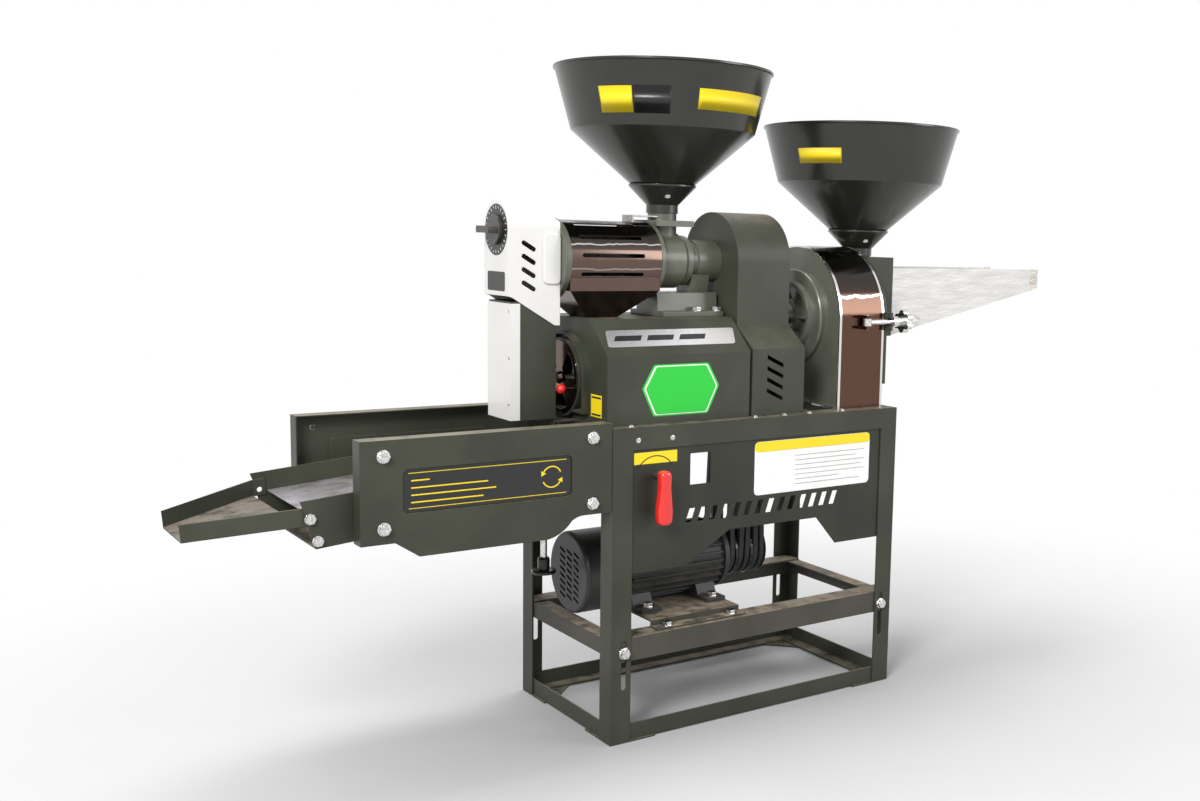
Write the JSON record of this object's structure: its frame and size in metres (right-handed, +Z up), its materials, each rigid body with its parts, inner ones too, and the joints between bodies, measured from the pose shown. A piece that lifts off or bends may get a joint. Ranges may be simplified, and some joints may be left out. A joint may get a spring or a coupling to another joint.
{
  "type": "rice huller",
  "caption": "Combined rice huller and crusher on an angle-iron stand, with hoppers, belt guard, blower, and a tilting grading sieve with a discharge tray.",
  "frame": {"origin": "middle of the four floor-bolt holes, on the floor under the stand", "axes": "+X along the stand towards the crusher and its feed tray, +Y towards the back, +Z up"},
  "size_m": [1.8239, 0.4105, 1.196],
  "materials": {
    "frame_paint": "satin powder coat, olive grey-green",
    "hopper_paint": "gloss paint, dark green-black",
    "guard_paint": "satin powder coat, olive grey-green",
    "stainless": "polished stainless sheet",
    "dull_stainless": "brushed stainless sheet",
    "cast": "painted casting, near black",
    "machined": "machined steel",
    "zinc": "bright zinc plate",
    "motor_grey": "grey paint on aluminium",
    "cowl_black": "dark grey pressed sheet",
    "white_plastic": "warm white moulded plastic",
    "grey_plastic": "moulded plastic, taupe grey",
    "red_plastic": "red gloss plastic",
    "rubber": "moulded rubber",
    "deck": "perforated sheet",
    "galvanised": "galvanised sheet, dusty",
    "dusty_steel": "painted steel with dust"
  },
  "bodies": {
    "frame": {"frame_legs": "frame_paint", "base_rails": "frame_paint", "top_rails": "frame_paint", "motor_rails": "dusty_steel", "front_panel": "frame_paint", "frame_bolts": "zinc", "motor_plate": "dusty_steel", "motor_body": "motor_grey", "motor_cowl": "cowl_black", "mill_belts": "rubber", "crusher_belts": "rubber", "blower_belt_loop": "rubber", "blower_casing": "guard_paint", "mill_pedestal": "frame_paint", "mill_bearing_housing": "frame_paint", "mill_screen": "dull_stainless", "mill_inlet": "frame_paint", "mill_chamber_cover": "stainless", "mill_funnel": "stainless", "mill_end_flange": "frame_paint", "mill_hopper": "hopper_paint", "head_cover": "white_plastic", "rice_column": "guard_paint", "column_front": "white_plastic", "belt_guard": "guard_paint", "crusher_shell": "stainless", "crusher_side_casting": "cast", "crusher_screen": "dull_stainless", "bearings": "machined", "sieve_cover_front": "frame_paint", "sieve_cover_back": "frame_paint", "sieve_bridge": "frame_paint"},
    "motor_rotor": {"motor_rotor": "machined", "motor_pulley": "cast"},
    "mill_rotor": {"mill_shaft": "machined", "mill_roller": "cast", "mill_pulley": "cast"},
    "blower_rotor": {"blower_impeller": "machined", "blower_pulley": "cast"},
    "crusher_rotor": {"crusher_rotor": "machined", "crusher_pulley": "cast"},
    "selector": {"selector_lever": "red_plastic", "selector_arm": "machined"},
    "dial": {"dial_knob": "grey_plastic"},
    "outlet_valve": {"outlet_valve": "machined"},
    "feed_gate": {"mill_gate": "dull_stainless"},
    "damper": {"air_damper": "stainless", "damper_knob": "red_plastic"},
    "door": {"crusher_door": "frame_paint", "feed_tray": "galvanised", "crusher_hopper": "hopper_paint"},
    "latch": {"latch_bolt": "zinc"},
    "latch_knob": {"latch_knob": "zinc"},
    "tilt_screw": {"tilt_screw": "zinc"},
    "tilt_wheel": {"tilt_handwheel": "cast"},
    "cradle": {"sieve_cradle": "dusty_steel"},
    "sieve": {"sieve_box": "frame_paint", "sieve_deck": "deck", "discharge_tray": "frame_paint", "sieve_bolts": "zinc"}
  },
  "joints": [
    {"name": "motor_spin", "type": "hinge", "parent": "frame", "child": "motor_rotor", "pos_m": [0, 0, 0.275], "axis": [1, 0, 0], "continuous": true},
    {"name": "mill_spin", "type": "hinge", "parent": "frame", "child": "mill_rotor", "pos_m": [0, 0, 0.849], "axis": [1, 0, 0], "continuous": true},
    {"name": "blower_spin", "type": "hinge", "parent": "frame", "child": "blower_rotor", "pos_m": [0, 0, 0.638], "axis": [1, 0, 0], "continuous": true},
    {"name": "crusher_spin", "type": "hinge", "parent": "frame", "child": "crusher_rotor", "pos_m": [0, 0, 0.74], "axis": [1, 0, 0], "continuous": true},
    {"name": "selector_swing", "type": "hinge", "parent": "frame", "child": "selector", "pos_m": [-0.237, 0, 0.478], "axis": [0, 1, 0], "range_deg": [-30, 30]},
    {"name": "dial_turn", "type": "hinge", "parent": "frame", "child": "dial", "pos_m": [-0.46, 0, 0.898], "axis": [-1, 0, 0], "range_deg": [0, 300.1]},
    {"name": "valve_slide", "type": "slide", "parent": "frame", "child": "outlet_valve", "axis": [-1, 0, 0], "range_m": [0, 0.005]},
    {"name": "gate_slide", "type": "slide", "parent": "frame", "child": "feed_gate", "axis": [-1, 0, 0], "range_m": [0, 0.042]},
    {"name": "damper_turn", "type": "hinge", "parent": "frame", "child": "damper", "pos_m": [-0.338, 0, 0.638], "axis": [1, 0, 0], "range_deg": [0, 60]},
    {"name": "door_swing", "type": "hinge", "parent": "frame", "child": "door", "pos_m": [0.318, 0.152, 0.74], "axis": [0, 0, 1], "range_deg": [0, 100]},
    {"name": "latch_swing", "type": "hinge", "parent": "frame", "child": "latch", "pos_m": [0.255, -0.154, 0.736], "axis": [0, 0, 1], "range_deg": [-90, 0]},
    {"name": "latch_knob_turn", "type": "hinge", "parent": "latch", "child": "latch_knob", "pos_m": [0.366, -0.154, 0.736], "axis": [1, 0, 0], "continuous": true},
    {"name": "handwheel_turn", "type": "hinge", "parent": "tilt_screw", "child": "tilt_wheel", "pos_m": [-0.368, 0, 0.285], "axis": [0, 0, 1], "range_deg": [-1440, 1440]},
    {"name": "tilt_screw_travel", "type": "slide", "parent": "frame", "child": "tilt_screw", "axis": [0, 0, 1], "range_m": [-0.008, 0.008]},
    {"name": "sieve_tilt", "type": "hinge", "parent": "frame", "child": "cradle", "pos_m": [-0.7245, 0, 0.437], "axis": [0, 1, 0], "range_deg": [-1.29, 1.29]},
    {"name": "sieve_shake", "type": "slide", "parent": "cradle", "child": "sieve", "axis": [0.996, 0, 0.0898], "range_m": [-0.004, 0.004], "stiffness_N_per_m": 8000}
  ],
  "couplings": [
    {"joint": "mill_spin", "follows": "motor_spin", "ratio": 0.68},
    {"joint": "blower_spin", "follows": "motor_spin", "ratio": 1.7},
    {"joint": "crusher_spin", "follows": "motor_spin", "ratio": 1.5},
    {"joint": "dial_turn", "follows": "valve_slide", "rad_per_m": 1047.2},
    {"joint": "tilt_screw_travel", "follows": "handwheel_turn", "m_per_rad": 0.00031831},
    {"joint": "sieve_tilt", "follows": "handwheel_turn", "ratio": -0.00089287}
  ]
}
